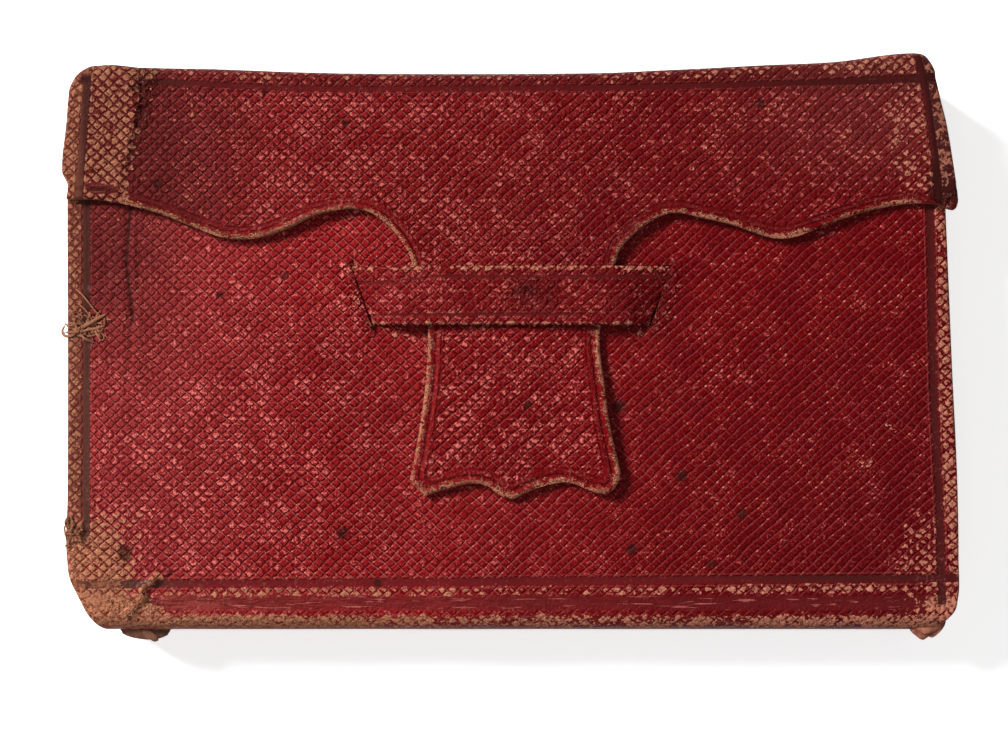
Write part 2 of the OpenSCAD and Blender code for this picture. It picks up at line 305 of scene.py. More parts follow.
def thicken(piece, lining=0):
    """Closes a sheet with its inner side and its cut edges, which take the slot lining."""
    choose(piece)
    outer = len(piece.data.vertices)
    solid = piece.modifiers.new("thickness", "SOLIDIFY")
    solid.thickness = SKIN_T * MM
    solid.offset = -1
    solid.use_rim = True
    solid.material_offset = lining
    solid.material_offset_rim = lining
    bpy.ops.object.modifier_apply(modifier=solid.name)
    mesh = piece.data
    places = np.empty((len(mesh.vertices), 3))
    inside = np.empty((len(mesh.vertices), 3))
    mesh.vertices.foreach_get("co", places.ravel())
    mesh.attributes["inside"].data.foreach_get("vector", inside.ravel())
    places[outer:] = inside[outer:]
    mesh.vertices.foreach_set("co", places.ravel())
    mesh.attributes.remove(mesh.attributes["inside"])
    mesh.update()
    bpy.ops.object.shade_smooth_by_angle(angle=math.radians(50))


def skin_over(piece):
    """Makes a sheet leather, with grain outside and flesh side within and on its cut edges."""
    piece.data.materials.append(leather)
    piece.data.materials.append(flesh)
    thicken(piece, lining=1)


class Wire:
    """A socket in a material. Arithmetic on it adds Math nodes."""

    def __init__(self, paint, socket):
        self.paint = paint
        self.socket = socket

    def __add__(self, other):
        return self.paint.math("ADD", self, other)

    def __sub__(self, other):
        return self.paint.math("SUBTRACT", self, other)

    def __rsub__(self, other):
        return self.paint.math("SUBTRACT", other, self)

    def __mul__(self, other):
        return self.paint.math("MULTIPLY", self, other)

    def __truediv__(self, other):
        return self.paint.math("DIVIDE", self, other)

    def __abs__(self):
        return self.paint.math("ABSOLUTE", self)

    __radd__ = __add__
    __rmul__ = __mul__


def colour(red, green, blue):
    """A colour given as 0 to 255 on screen, as the values that a shader takes."""
    parts = [c / 255 for c in (red, green, blue)]
    return [c / 12.92 if c <= 0.04045 else ((c + 0.055) / 1.055) ** 2.4 for c in parts] + [1]


class Paint:
    """A material and the nodes that it is made of."""

    def __init__(self, name):
        self.material = bpy.data.materials.new(name)
        self.material.use_nodes = True
        self.tree = self.material.node_tree
        self.tree.nodes.clear()

    def node(self, kind, settings=None, inputs=None):
        """Adds a node, with its settings first and then the values or wires of its inputs."""
        made = self.tree.nodes.new("ShaderNode" + kind)
        for key, value in (settings or {}).items():
            setattr(made, key, value)
        for key, value in (inputs or {}).items():
            if isinstance(value, Wire):
                self.tree.links.new(value.socket, made.inputs[key])
            else:
                made.inputs[key].default_value = value
        return made

    def wire(self, made, output=0):
        return Wire(self, made.outputs[output])

    def math(self, operation, *values):
        return self.wire(self.node("Math", {"operation": operation}, dict(enumerate(values))))

    def larger(self, a, b):
        return self.math("MAXIMUM", a, b)

    def smaller(self, a, b):
        return self.math("MINIMUM", a, b)

    def soften(self, value, low, high):
        """0 below low and 1 above high, with a smooth rise between them."""
        inputs = {"Value": value, "From Min": low, "From Max": high}
        return self.wire(self.node("MapRange", {"interpolation_type": "SMOOTHSTEP"}, inputs))

    def fade(self, value, low, high):
        """1 below low and 0 above high, with a smooth fall between them."""
        return 1 - self.soften(value, low, high)

    def mix(self, a, b, share):
        """Colour a where share is 0 and colour b where it is 1."""
        a, b = (c if isinstance(c, Wire) else colour(*c) for c in (a, b))
        inputs = {0: share, 6: a, 7: b}
        return self.wire(self.node("Mix", {"data_type": "RGBA"}, inputs), 2)

    def coats(self, base, *layers):
        """A colour with others laid over it in turn, each with its share."""
        for shade, share in layers:
            base = self.mix(base, shade, share)
        return base

    def mark(self, name):
        """A value kept at the vertices of the piece."""
        return self.wire(self.node("Attribute", {"attribute_name": name}), "Fac")

    def spots(self, place, size, detail=2.0, rough=0.5, shift=0.0):
        """Cloudy noise between about 0 and 1, with clouds of about the given size."""
        moved = self.node("VectorMath", {"operation": "ADD"}, {0: place, 1: (shift, shift, 0)})
        inputs = {"Vector": self.wire(moved), "Scale": 1 / size, "Detail": detail,
                  "Roughness": rough}
        return self.wire(self.node("TexNoise", None, inputs))

    def finish(self, shader_inputs, height=None, depth=0.0):
        """Adds the surface. depth is how far, in metres, the height stands up at 1."""
        if height is not None:
            bump = self.node("Bump", None, {"Height": height, "Distance": depth,
                                            "Strength": 1.0})
            shader_inputs["Normal"] = self.wire(bump)
        surface = self.node("BsdfPrincipled", None, shader_inputs)
        output = self.node("OutputMaterial")
        self.tree.links.new(surface.outputs[0], output.inputs["Surface"])
        return self.material


# Spacing of the grain's grooves and their slant
GRAIN_PITCH = 1.06
GRAIN_TURN = math.radians(42.5)


def grained_leather(name):
    """Red goatskin with a diced grain, worn tan where its marks say."""
    p = Paint(name)
    flat = p.wire(p.node("UVMap", {"uv_map": "skin"}), "UV")
    place = p.wire(p.node("VectorMath", {"operation": "SCALE"}, {0: flat, "Scale": UV_SIZE}))
    parts = p.node("SeparateXYZ", None, {0: place})
    x, y = p.wire(parts, 0), p.wire(parts, 1)
    # The marks at the vertices; the one named lit says how strongly highlights are painted
    names = ("wear", "stain_and_shade", "plain", "rule", "rim", "grime_and_shade", "crush", "lit")
    wear, stain_and_shade, plain, rule, rim, grime_and_shade, crush, lit_mark = [p.mark(name) for name in names]

    # Noise of several sizes, and how far a place lies to the right
    cloud = p.spots(place, 5.0, 3.0, 0.55)
    fine = p.spots(place, 0.8, 3.0, 0.6, 31.0)
    lumps = p.spots(place, 0.42, 2.0, 0.5, 57.0)
    tiny = p.spots(place, 0.17, 2.0, 0.6, 71.0)
    broad = p.spots(place, 18.0, 2.0, 0.5, 83.0)
    drawn = p.node("VectorMath", {"operation": "MULTIPLY"}, {0: place, 1: (0.09, 1.0, 1.0)})
    smear = p.spots(p.wire(drawn), 0.5, 3.0, 0.6, 19.0)
    cloudy, grainy, lumpy = cloud - 0.5, fine - 0.5, lumps - 0.5
    right = p.soften(x, -30.0, 30.0)
    # Towards the left edge the red is paler and pinker, partly faded and partly a painted sheen;
    # towards the right it is darker
    in_from_left = p.soften(x, -54.0, -22.0)

    # The dice: up counts the grooves that rise to the right, and down those that fall
    slant = x * math.sin(GRAIN_TURN)
    rise = y * math.cos(GRAIN_TURN)
    wander = cloudy * 0.8 + grainy * 0.24
    up = (rise - slant) / GRAIN_PITCH + wander
    down = (rise + slant) / GRAIN_PITCH - wander * 0.8
    across = [p.math("WRAP", count + lumpy * 0.12, -0.5, 0.5) for count in (up, down)]
    # Painted shade on the shadowed side of each groove and a painted highlight on its lit side;
    # the wider troughs are painted darker too
    shaded_up, shaded_down = [p.fade(abs(side - 0.045), 0.05, 0.12) for side in across]
    highlight_up, highlight_down = [p.fade(abs(side + 0.085), 0.03, 0.085) for side in across]
    wide_up, wide_down = [p.fade(abs(side + 0.02), 0.07, 0.2) for side in across]
    faint = 1 - right * 0.62
    dice = p.node("CombineXYZ", None, {0: p.math("FLOOR", up), 1: p.math("FLOOR", down)})
    chance = p.wire(p.node("TexWhiteNoise", {"noise_dimensions": "2D"}, {"Vector": p.wire(dice)}))
    pillow = p.soften(abs(across[0]), 0.0, 0.42) * p.soften(abs(across[1]), 0.0, 0.42)

    # Ruled lines, the cut edge and the grain between them
    on_rule = p.fade(abs(rule) + grainy * 0.2 + lumpy * 0.1, RULE_W * 0.4, RULE_W * 0.56)
    ridge = p.fade(abs(abs(rule) - RULE_W * 0.7), 0.04, 0.16)
    band = p.fade(rim, 1.6, 1.85)
    grain = 1 - p.larger(p.larger(on_rule, band), plain)
    scored = p.smaller(abs(rim - 0.9), abs(rim - 1.56))
    scored = p.fade(scored + lumpy * 0.4, 0.02, 0.16) * band
    scored = scored * p.soften(fine * 0.6 + cloud * 0.5, 0.42, 0.62)
    welt = p.fade(abs(rim - 1.2) + lumpy * 0.5, 0.05, 0.25) * band * p.soften(fine, 0.42, 0.6)
    groove = p.larger(shaded_up, shaded_down * faint) * grain
    trough = p.larger(wide_up, wide_down * faint) * grain
    pillow = p.math("MULTIPLY_ADD", pillow - 0.5, grain, 0.5)

    # Where the leather is worn bare
    worn = (wear + (chance - 0.5) * 0.2 + (pillow - 0.5) * 0.2 + grainy * 0.55 + cloudy * 0.35
            + lumpy * 0.6 - p.larger(groove, trough * 0.15) * 0.3)
    gone = p.soften(wear, 0.6, 0.82)
    raw = p.fade(rim + grainy * 2.4 + lumpy * 2.4 + cloudy * 1.4, 0.34, 0.48)
    bare = p.larger(p.soften(worn - on_rule * 0.3 + crush * 0.1, 0.48, 0.53), raw)

    # The dyed skin, with painted shade in its grooves and painted highlights beside them
    mottled = p.soften(cloud * 0.7 + chance * 0.3, 0.4, 0.75) * 0.6
    # Painted shade towards the lower right, with broad patches of darker random tone
    shade_low_right = p.soften(x - y * 0.8, 30.0, 80.0)
    tone_and_shade = p.larger(p.soften(broad, 0.48, 0.75) * 0.4, shade_low_right * 0.6)
    red = p.coats((130, 32, 34), ((122, 8, 13), in_from_left), ((86, 0, 3), right),
                  ((96, 1, 6), lit_mark * 0.7),
                  (p.mix((150, 20, 24), (118, 2, 7), right), mottled), ((62, 0, 3), tone_and_shade))
    bright = p.coats((170, 72, 68), ((162, 44, 45), in_from_left), ((126, 12, 16), right),
                     ((146, 12, 18), lit_mark * 0.8))
    low_red = p.coats((112, 24, 27), ((102, 5, 10), in_from_left), ((98, 10, 16), right))
    broken = p.soften(lumps * 0.6 + cloud * 0.4, 0.4, 0.56)
    skin = p.coats(
        red, (bright, p.soften(lumps * 0.55 + tiny * 0.45, 0.44, 0.62) * 0.65),
        (low_red, trough * 0.65),
        (p.mix((80, 8, 12), (66, 0, 3), in_from_left), groove * (0.62 - right * 0.17)),
        (p.mix((158, 66, 64), (118, 36, 42), right), highlight_up * grain * (0.35 + right * 0.15)),
        ((190, 96, 90), highlight_down * grain * broken * (1 - right * 0.8) * 0.75))

    # Painted highlights on the tops of the grain, flecks that are partly scuffs and partly
    # painted glints, and painted glint dots
    lit = p.soften(chance * 0.42 + cloud * 0.5 + wear * 0.6 - right * 0.08 + lit_mark * 0.3,
                   0.35, 1.0) * (1 - grime_and_shade * 1.2)
    lit_tops = p.soften(lumps * 0.65 + tiny * 0.35 + (pillow - 0.5) * 0.14 + lit * 0.14
                    - lit_mark * 0.026, 0.6, 0.67) * (1 - groove)
    highlight_red = p.coats((196, 106, 98), ((168, 74, 70), right), ((206, 108, 98), lit_mark))
    scuff_glint = p.soften(tiny * 0.6 + lumps * 0.5 + (chance - 0.5) * 0.08, 0.67, 0.72) * (1 - groove)
    scuff_glint = scuff_glint * p.soften(cloud + chance * 0.4 - right * 0.1, 0.45, 0.85) * (1 - right * 0.4)
    luck = p.math("FRACT", chance * 9.7)
    glint_dot = p.node("CombineXYZ", None, {0: across[0] + 0.24 - luck * 0.2,
                                      1: (across[1] - 0.1 - chance * 0.26) * 0.6})
    glint_dot = p.wire(p.node("VectorMath", {"operation": "LENGTH"}, {0: p.wire(glint_dot)}), "Value")
    glint_dot = p.fade(glint_dot + lumpy * 0.3, 0.05, 0.12) * grain
    glint_dot = glint_dot * p.soften(luck * 0.4 + cloud * 0.9 + lit_mark * 0.2, 0.68, 0.86)

    # Ruled, pressed and crumpled leather, grime with painted shade, and dust
    ruled = p.coats((64, 42, 35), ((88, 22, 24), p.soften(x, -52.0, -40.0)),
                    ((66, 22, 21), p.soften(x, 20.0, 46.0)))
    faded = p.coats((128, 58, 50), ((114, 36, 35), in_from_left), ((94, 22, 24), right))
    level = p.larger(plain - 0.4, 0.0) * 1.6 * (1 - on_rule)
    broken_up = p.soften(lumps * 0.6 + fine * 0.4, 0.46, 0.56)
    dusty = p.soften(x, 18.0, 52.0) * p.soften(y, 19.0, 31.0)
    margin = p.fade(x, -58.3, -57.2)
    # The painted highlights of the grain go on first
    skin = p.coats(
        skin, (highlight_red, lit_tops * lit), ((206, 116, 106), p.larger(scuff_glint, glint_dot * 0.7)),
        (ruled, on_rule * (0.9 - in_from_left * 0.1 + plain * 0.1)),
        ((140, 56, 50), ridge * fine * grain * 0.8),
        (p.mix((112, 14, 18), (92, 2, 7), right), band * 0.5),
        ((56, 3, 6), scored * 0.5), ((158, 62, 58), welt * 0.25), (faded, level * 0.9),
        ((82, 16, 18), level * p.soften(smear, 0.42, 0.56) * 0.8),
        ((176, 92, 84), level * p.soften(smear, 0.58, 0.64) * 0.8),
        (p.mix((48, 6, 8), (156, 60, 54), broken_up), crush * 0.8), ((46, 14, 12), grime_and_shade),
        ((158, 88, 80), dusty * (1 - on_rule) * 0.1), ((124, 68, 52), margin * 0.5))

    # Bare hide with its pits, then stains with painted shade in creases, and grime with painted
    # shade, over everything
    tan = p.mix((176, 113, 83), (190, 118, 96), right)
    hide = p.coats((124, 70, 50), (tan, p.soften(fine * 0.5 + lumps * 0.5, 0.36, 0.62)),
                   ((212, 160, 130), p.soften(tiny, 0.57, 0.64) * (0.5 + raw * 0.3)))
    pit = p.soften(tiny * 0.5 + lumps * 0.5 + grainy * 0.4, 0.38, 0.45)
    hide = p.coats((74, 24, 20), (hide, pit),
                   ((84, 22, 22), groove * (0.9 - gone * 0.45 - margin * 0.35)),
                   ((104, 56, 42), on_rule * 0.6))
    stain_and_shade_mix = p.soften(stain_and_shade + grainy * 0.5, 0.1, 0.5)
    skin = p.coats(skin, (hide, bare), ((46, 16, 13), stain_and_shade_mix * 0.8), ((46, 14, 12), grime_and_shade * 0.5))

    smooth_skin = 1 - p.larger(on_rule, band) * 0.7
    height = (1 - trough) * 0.4 + (1 - groove) * (0.35 - right * 0.15) + pillow * 0.2
    height = height + (lumpy * 0.8 + grainy * 0.5 + (tiny - 0.5) * 0.2) * smooth_skin
    height = height - on_rule * 0.4 - bare * 0.12 + ridge * grain * 0.2 + lit_tops * 0.12
    height = height + welt * 0.4 - scored * 0.5 + crush * ((broken_up - 0.5) * 2.2 + fine)
    height = height * (lit_mark * 0.9 + 1)
    rough = 0.34 + bare * 0.45 + grainy * 0.2 + groove * 0.2
    gloss = lit_tops * 0.6 + (1 - trough) * 0.08
    return p.finish({"Base Color": skin, "Roughness": rough, "Specular IOR Level": 0.04,
                     "Coat Weight": gloss * (1 - bare) * 0.4, "Coat Roughness": 0.22,
                     "Coat IOR": 1.4}, height, 0.0002)


def plain_stuff(name, dark, light, size, rough=0.8, depth=0.00005):
    """A dull material with cloudy colour, such as board, paper or the flesh side of leather."""
    p = Paint(name)
    place = p.wire(p.node("TexCoord"), "Object")
    cloud = p.spots(place, size * 6 * MM, 3.0)
    grit = p.spots(place, size * MM, 4.0, 0.7)
    shade = p.mix(dark, light, p.soften(cloud * 0.5 + grit * 0.5, 0.3, 0.7))
    return p.finish({"Base Color": shade, "Roughness": rough}, grit, depth)


def leaf_edges(name):
    """The edges of aged paper leaves, lying flat on each other."""
    p = Paint(name)
    place = p.wire(p.node("TexCoord"), "Object")
    squashed = p.wire(p.node("VectorMath", {"operation": "MULTIPLY"},
                             {0: place, 1: (0.008, 0.008, 1.0)}))
    leaves = p.spots(squashed, 0.13 * MM, 1.0, 0.4)
    sections = p.spots(squashed, 1.1 * MM, 1.0, 0.4, 3.0)
    cloud = p.spots(place, 7 * MM, 3.0)
    grit = p.spots(place, 0.5 * MM, 2.0, 0.6)
    shade = p.coats(
        (96, 72, 46), ((190, 168, 132), p.soften(leaves, 0.34, 0.5)),
        ((112, 84, 54), p.soften(sections, 0.52, 0.7) * 0.5),
        ((118, 84, 52), p.soften(cloud + (grit - 0.5) * 0.4, 0.45, 0.8) * 0.6))
    return p.finish({"Base Color": shade, "Roughness": 0.85}, leaves + sections, 0.00015)


leather = grained_leather("grained_leather")
flesh = plain_stuff("flesh_side", (96, 54, 40), (140, 88, 64), 0.25)
cardboard = plain_stuff("cardboard", (126, 104, 78), (166, 144, 112), 0.4)
endpaper = plain_stuff("endpaper", (184, 164, 126), (214, 198, 166), 0.6)
liner = plain_stuff("spine_lining", (140, 116, 82), (176, 154, 118), 0.4)
cord = plain_stuff("cord", (150, 130, 98), (196, 178, 142), 0.2)
fray = plain_stuff("loose_fibres", (98, 50, 28), (156, 98, 64), 0.3)
torn = plain_stuff("torn_leather", (70, 34, 25), (138, 86, 62), 0.3)
scrap = plain_stuff("scrap_leather", (72, 20, 18), (186, 112, 84), 0.16, 0.8, 0.0001)
leaves = leaf_edges("page_edges")

for node, stuff in {"back_board": cardboard,
                    "front_pastedown": endpaper, "back_pastedown": endpaper,
                    "spine_liner": liner, "text_block": leaves,
                    "sewing_cords": cord}.items():
    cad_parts[node].material_slots[0].material = stuff

# The covers and the spine: one skin, flat in x and t, where t is y on the front cover and
# then runs on round the spine and along the back cover
ARC = SPINE_R * math.pi / 2
WALL = TOP - 2 * SPINE_R
BEND_Y = SPINE_Y + SPINE_R
WALL_T = BEND_Y - ARC
LOW_BEND_T = WALL_T - WALL
BACK_T = LOW_BEND_T - ARC
END_T = BACK_T - (FORE_Y - EDGE_R - BEND_Y)
START_T = FORE_Y - EDGE_R


def section(t):
    """Place in Y and Z, and how far the outward direction has turned from +Z, at t."""
    first = np.clip((BEND_Y - t) / SPINE_R, 0, math.pi / 2)
    second = np.clip((LOW_BEND_T - t) / SPINE_R, 0, math.pi / 2)
    wall = np.clip(WALL_T - t, 0, WALL)
    y = (BEND_Y + np.maximum(t - BEND_Y, 0) + np.maximum(BACK_T - t, 0)
         - SPINE_R * np.sin(first) + SPINE_R * (1 - np.cos(second)))
    z = TOP - SPINE_R * (1 - np.cos(first)) - wall - SPINE_R * np.sin(second)
    return y, z, first + second


def edge_ring(ring, depth):
    """How far out and down the leather lies on a ring of its turned edge, and how far that is
    along the leather."""
    k = np.asarray(ring, float)
    turn = np.clip(k / 4, 0, 1) * math.pi / 2
    under = np.clip((k - 6) / 2, 0, 1) * math.pi / 2
    lip = np.clip((k - 8) / 2, 0, 1) ** 1.2 * TURN_IN
    wall = np.clip((k - 4) / 2, 0, 1) * (depth - EDGE_R - UNDER_R)
    out = EDGE_R * np.sin(turn) - UNDER_R * (1 - np.cos(under)) - lip
    down = EDGE_R * (1 - np.cos(turn)) + wall + UNDER_R * np.sin(under)
    return out, down, EDGE_R * turn + wall + UNDER_R * under + lip


def off_slit(x, y):
    """Distance outward from the line of the slit on the same side."""
    return np.abs(x) - SLIT_X - SLIT_SLANT * (y - SLIT_MID_Y)


def by_slit(y, inward, width):
    """1 at the slits' height, fading to 0 past their ends."""
    return smooth(1 - (np.abs(y - SLIT_MID_Y) - SLIT_HALF + inward) / width)


def slit_slant(u, y):
    """Sideways shift that turns the columns beside a slit along it."""
    near = smooth(1 - np.abs(np.abs(u) - SLIT_X) / 5.5)
    high = by_slit(y, 0, 6)
    lean = np.clip(y - SLIT_MID_Y, -SLIT_HALF - 1, SLIT_HALF + 1)
    return np.sign(u) * SLIT_SLANT * lean * near * high


def frame_rule(x, y):
    """Distance inward from the middle of the cover's ruled frame."""
    left = x - LEFT_RULE
    right = through(RIGHT_RULE, y) - x
    low = y - through(LOW_RULE, x)
    return left, right, low


# The tear at the lower left corner, and creases as height, width and points
TEAR = [(-47.9, -30.6), (-48.4, -31.4), (-49.6, -31.9), (-49.9, -32.8), (-49.6, -33.6),
        (-50.6, -34.3), (-51.2, -35.4)]
LEFT_CREASE = [(-51.4, 20), (-52, 12), (-51.1, 4)]
COVER_CREASES = [
    (-0.2, 0.5, LEFT_CREASE + [(-51.8, -5)]),
    (0.12, 0.6, [(-50.6, 20), (-51.1, 12), (-50.3, 4), (-50.9, -5)]),
    (-0.15, 0.4, [(-55.6, 17), (-54.6, 10), (-56.2, 3)]),
    (-0.14, 0.3, [(-50.6, 19), (-50.2, 11), (-50.9, 5)]),
    (-0.12, 0.3, [(-53.6, 18), (-53.1, 9), (-54.2, 2), (-53.4, -6)]),
    (0.5, 0.55, TEAR), (-0.15, 0.35, shifted(TEAR, 1.0, -0.5))]
# The puckers that spread from both ends of each slit
PUCKER = 2.6
for side in (-1, 1):
    for end, lean in ((SLIT_MID_Y - SLIT_HALF, -1), (SLIT_MID_Y + SLIT_HALF, 1)):
        tip = side * (SLIT_X + SLIT_SLANT * (end - SLIT_MID_Y))
        for turn in (-0.9, -0.2, 0.5):
            far_end = (tip + PUCKER * math.sin(turn), end + lean * PUCKER * math.cos(turn))
            COVER_CREASES.append((-0.1, 0.3, [(tip, end), far_end]))


def cover_relief(x, y, front):
    """How far the front cover's surface stands out."""
    left, right, low = frame_rule(x, y)
    ruled = hump(np.minimum(np.minimum(np.abs(left), np.abs(right)), np.abs(low)), 0, 0.5, 4)
    h = 0.1 * ripple(x, y, 16, 3) + 0.05 * ripple(x, y, 6, 4) - 0.1 * ruled
    h += creases(x, y, COVER_CREASES) - 0.22 * hump(y, -34.3, 1.3)
    h += 0.1 * ripple(x, y, 1.8, 61) * smooth(patch(x, y, (-50.5, -33.5), (6, 4)) * 2)
    h += 0.07 * ripple(x, y, 2.2, 62) * smooth(patch(x, y, (-55, 5), (5, 14)) * 2)
    lip = off_slit(x, y)
    outer = smooth(1 - lip / 3.2) * (lip > 0)
    inner = smooth(1 + lip / 2.2) * (lip <= 0)
    h += by_slit(y, 0.5, 2.5) * (0.55 * outer - 0.35 * inner)
    return h * front


# Worn patches of the front cover as middle, size, strength and sharpness
COVER_WORN = [
    ((-57.6, 3), (3.6, 2.2), 0.66, 1.6), ((-58.8, 6.6), (1.8, 3.4), 0.5, 1.6),
    ((-57, -30.5), (9, 12), 0.85, 1.6), ((-52, -36), (9, 3), 0.75, 1.6),
    ((40.7, -32.4), (2.2, 1.1), 0.5, 2), ((53.5, -32.2), (1.6, 1.1), 0.5, 2),
    ((58, -35), (5, 4), 0.6, 1.5), ((-21, 6.7), (0.8, 2), 0.55, 2),
    ((-14.6, 2.2), (2.6, 0.7), 0.55, 2), ((20.9, 5.2), (0.6, 1.4), 0.55, 2),
    ((17.4, 2.4), (0.8, 0.9), 0.55, 2), ((50.9, -10.1), (1.5, 0.8), 0.55, 2),
    ((48.2, -15.5), (1.2, 0.7), 0.55, 2)]


def cover_wear(x, y):
    """How worn the front cover is, from 0 to 1."""
    left, right, low = frame_rule(x, y)
    row = 0.49 + 0.07 * smooth((x - 14) / 20)
    far = 0.14 * smooth((-10 - x) / 20) + 0.05 * smooth((x - 40) / 10) + 0.02
    return np.maximum.reduce([
        0.16 * smooth((-20 - x) / 35) + 0.05,
        0.56 * smooth(-left / 1.2),
        0.58 * smooth(-right / 1.0) * smooth((24 - y) / 6),
        row * hump(low, -1.3, 0.75, 4) * smooth((x + 54) / 6),
        0.49 * smooth((x - 48) / 7) * smooth((-17 - y) / 8),
        0.42 * smooth((-42 - x) / 10) * smooth((-13 - y) / 10),
        (0.53 + far) * smooth((-35.2 - y) / 0.8),
        0.95 * crease(x, y, TEAR, 0.8),
        worn_patches(x, y, COVER_WORN)])


# Dark spots of the front cover as middle and radius
COVER_SPOTS = [((-51.6, -36.3), 0.6), ((-46.3, -30.4), 0.5),
               ((-39.3, 7.4), 0.8), ((-30.5, 10.1), 0.7), ((-22.8, -24.7), 1.1),
               ((-18, -31.5), 0.8), ((16.3, -26.9), 1.1), ((23.1, -17.1), 1.1),
               ((31.2, -22.1), 1.0), ((27.1, -29), 0.8), ((-52.2, -27.8), 1.1),
               ((14.6, -7.6), 1.3), ((-57.9, -24.7), 1.0), ((-52.2, -27.3), 1.4)]


def cover_marks(x, y, t, ring, front):
    """The ruled lines, wear and stains of both covers and the spine, with painted shade and
    painted highlights.
    """
    at_y = np.where(t > BEND_Y, t, -t + BACK_T + BEND_Y)
    left, right, low = frame_rule(x, at_y)
    left = np.where(at_y > -26, left, FAR)
    right = np.where(at_y > -34.4, right, FAR)
    rule = np.minimum(np.minimum(np.abs(left), np.abs(right)), np.abs(low))
    rule = np.where((t > BEND_Y) | (t < BACK_T), rule, FAR)
    bends = hump(t, BEND_Y - 2.6, 1.5) + hump(t, BACK_T + 2.4, 1.5)
    wear = np.maximum.reduce([
        np.where(t > -38, cover_wear(x, t), cover_wear(x, section(t)[0]) * 0.8),
        0.5 * smooth((ring - 0.5) / 3), 0.46 * bends])
    # Round stains, and painted shade in the crease on the left
    stain_and_shade = np.maximum(round_spots(x, t, COVER_SPOTS), 0.7 * crease(x, t, LEFT_CREASE, 0.25))
    plain = np.maximum(0.95 * hump(t, -34.2, 1.25, 4),
                       0.7 * smooth((-35.4 - t) / 0.8) * (t > -39))
    # Painted shade, darker towards the upper left, and grime along the left margin
    grime_and_shade = np.maximum(0.5 * smooth((-40 - x) / 14) * smooth((y + 12) / 26),
                       0.6 * smooth((LEFT_RULE - x) / 1.0) * smooth((t + 26) / 8)) * front
    lips = np.abs(off_slit(x, t))
    tall = by_slit(t, 0.3, 1.5)
    crush = np.maximum(0.4 * smooth(patch(x, t, (-50.5, -34.5), (4, 1.6)) * 2),
                       0.45 * smooth(1 - lips / 1.6) * tall)
    lit = (0.25 * smooth(patch(x, t, (-28, -8), (26, 26)))
           + 0.5 * smooth(patch(x, t, (30, -2), (13, 7)))
           + 0.3 * smooth(patch(x, t, (-42, -22), (26, 20)) * 1.5)
           + 0.8 * smooth(1 - np.abs(lips - 1.6) / 2.4) * tall) * front
    return {"crush": crush, "lit": lit, "rule": rule, "wear": wear, "stain_and_shade": stain_and_shade,
            "plain": plain, "grime_and_shade": grime_and_shade, "rim": FAR}


def cover_shape(u, v):
    """The skin of both covers and the spine, with its edges turned in."""
    ring_x = np.maximum(np.abs(u) - HALF, 0)
    ring_y = np.where(v > START_T, v - START_T, np.maximum(END_T - v, 0))
    t = np.clip(v, END_T, START_T)
    y, z, turn = section(t)
    front = smooth((t - WALL_T) / 3)
    depth = SPINE_DEPTH + (BOARD_DEPTH - SPINE_DEPTH) * smooth((y + 35.5) / 1.8)
    edge_y = np.where(t > WALL_T, y, np.minimum(y, 20))
    low_x = through(LEFT_EDGE, edge_y) + EDGE_R
    high_x = through(RIGHT_EDGE, edge_y) - EDGE_R
    flat_x = np.clip(u, -HALF, HALF)
    x = fit(flat_x, HALF, low_x, high_x, COVER_EASE) + slit_slant(u, y) * front

    ring = np.maximum(ring_x, ring_y)
    out, down, run = edge_ring(ring, depth)
    corner = (ring_x > 0) & (ring_y > 0)
    share = np.where(ring_x >= ring_y, ring_y / np.maximum(ring_x, 1e-9),
                     2 - ring_x / np.maximum(ring_y, 1e-9)) * math.pi / 4
    over = out > 0
    out_x = np.where(corner & over, out * np.cos(share), np.where(ring_x > 0, out, 0))
    out_y = np.where(corner & over, out * np.sin(share), np.where(ring_y > 0, out, 0))
    lip = np.where((ring > 0) & ~over, -out, 0)
    out_x = np.where(corner & ~over, -lip, out_x)
    out_y = np.where(corner & ~over, -lip, out_y)
    end = (ring_y > 0) & (ring_x == 0)
    x = np.where(end, np.clip(x, low_x + lip, high_x - lip), x) + np.sign(u) * out_x
    end_y = np.where((ring_x > 0) & (ring_y == 0), np.minimum(y, START_T - lip), y)
    y = end_y + out_y

    h = cover_relief(x, section(t)[0], front) * smooth(1 - ring / 2)
    back = 1 - smooth((t - BACK_T) / 3)
    h += 0.08 * ripple(x, t, 14, 9) * back * smooth(1 - ring / 2)
    h = np.where(back > 0.5, np.minimum(h, 0.0), h)
    y = y - np.sin(turn) * (h - down)
    z = z + np.cos(turn) * (h - down)
    facing = np.clip(ring / 4, 0, 1) + np.clip((ring - 6) / 2, 0, 1)
    side = SKIN_T * np.sin(facing * math.pi / 2)
    top = SKIN_T * np.cos(facing * math.pi / 2)
    side_x = np.where(ring_x > 0, np.where(corner, np.cos(share), 1), 0) * np.sign(u)
    side_y = np.where(ring_y > 0, np.where(corner, np.sin(share), 1), 0)
    inside = (x - side_x * side, y - side_y * side + np.sin(turn) * top, z - np.cos(turn) * top)
    skin = (x + np.sign(u) * np.where(ring_x > 0, run - out_x, 0),
            t + np.where(v > START_T, run, 0) - np.where(v < END_T, run, 0))
    return (x, y, z), inside, skin, cover_marks(x, y, t, ring, front)


def rings(end, outward=1):
    """Places of a turned edge's rows or columns, past the end of the flat part."""
    return [end + outward * k for k in range(1, RINGS + 1)]


